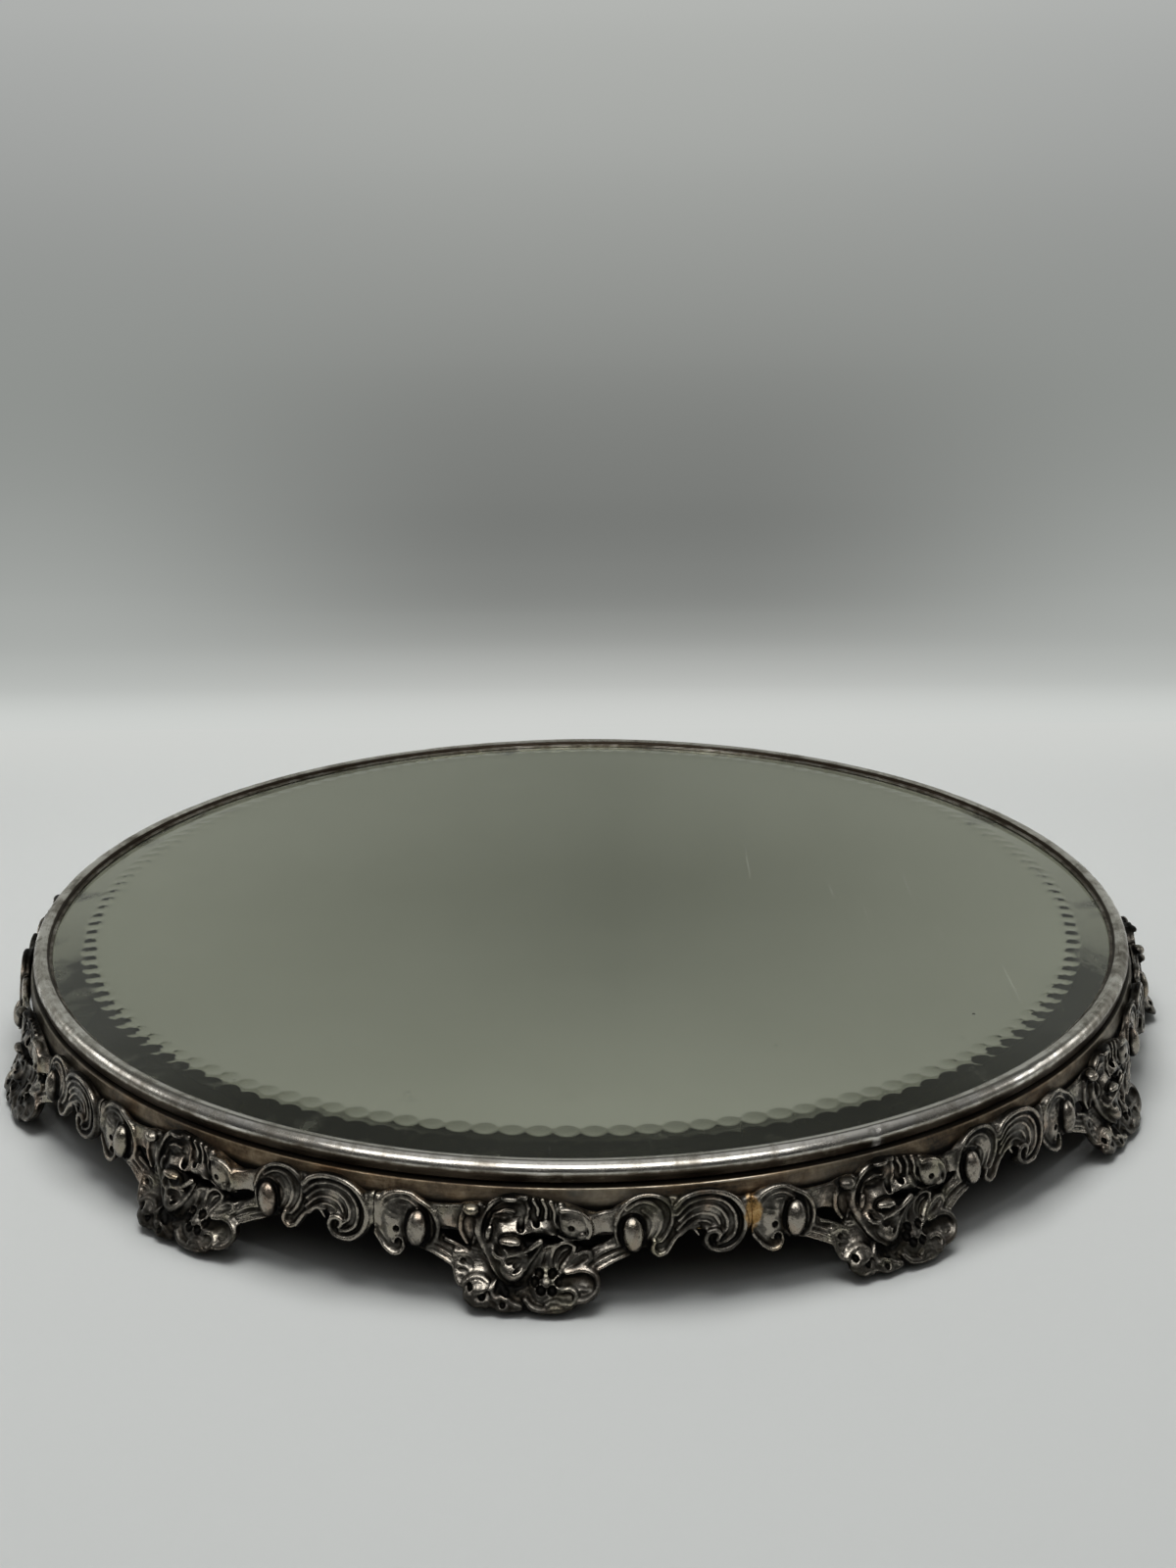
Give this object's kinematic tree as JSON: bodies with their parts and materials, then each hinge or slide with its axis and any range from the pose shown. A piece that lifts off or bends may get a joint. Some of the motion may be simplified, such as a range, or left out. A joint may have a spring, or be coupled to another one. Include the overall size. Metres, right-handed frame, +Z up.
{
  "type": "mirrored cake turntable",
  "caption": "Round bevelled mirror deck in a half-round rim, turning on a ball race inside a low pierced gallery of scrolls and leaves that stands on flower feet.",
  "frame": {"origin": "on the spin axis, at the level of the surface the feet stand on", "axes": "+Z up along the spin axis; -Y towards the side seen from the front; angles of the feet run about +Z from -Y towards +X, the first at -4 degrees"},
  "size_m": [0.4394, 0.4394, 0.0406],
  "materials": {
    "cast_silver": "cast and silver plated, worn bright on the high points, blackened in the hollows",
    "rolled_silver": "rolled half-round moulding, silver plated, polished crest and tarnished flanks",
    "band_silver": "rolled moulding, silver plated, brown tarnish",
    "mirror_glass": "bevelled plate glass silvered on the back, aged",
    "felt": "dark felt",
    "board_wood": "plain softwood board, oiled",
    "brass_fittings": "dull brass",
    "steel_fixings": "plain steel",
    "fibre_washer": "red vulcanised fibre",
    "race_steel": "pressed steel, oiled",
    "ball_steel": "polished hardened steel",
    "cage_brass": "stamped brass sheet"
  },
  "bodies": {
    "base": {"gallery_band": "band_silver", "gallery_casting_01": "cast_silver", "gallery_casting_02": "cast_silver", "gallery_casting_03": "cast_silver", "gallery_casting_04": "cast_silver", "gallery_casting_05": "cast_silver", "gallery_casting_06": "cast_silver", "gallery_casting_07": "cast_silver", "gallery_casting_08": "cast_silver", "gallery_casting_09": "cast_silver", "gallery_casting_10": "cast_silver", "gallery_casting_11": "cast_silver", "gallery_casting_12": "cast_silver", "board_lugs": "brass_fittings", "lug_screws": "steel_fixings", "base_board": "board_wood", "lower_race": "race_steel", "lower_race_screws": "steel_fixings", "pivot_bolt": "steel_fixings", "pivot_washer": "steel_fixings", "pivot_nut": "steel_fixings"},
    "deck": {"rim_bead": "rolled_silver", "mirror": "mirror_glass", "mirror_felt": "felt", "deck_board": "board_wood", "rim_pins": "brass_fittings", "pivot_bush": "brass_fittings", "thrust_washer": "fibre_washer", "upper_race": "race_steel", "upper_race_screws": "steel_fixings"},
    "cage": {"ball_cage": "cage_brass", "race_balls": "ball_steel"}
  },
  "joints": [
    {"name": "deck_spin", "type": "hinge", "parent": "base", "child": "deck", "pos_m": [0, 0, 0.0243], "axis": [0, 0, 1], "continuous": true},
    {"name": "cage_spin", "type": "hinge", "parent": "base", "child": "cage", "pos_m": [0, 0, 0.0206], "axis": [0, 0, 1], "continuous": true}
  ],
  "couplings": [
    {"joint": "cage_spin", "follows": "deck_spin", "ratio": 0.5}
  ]
}
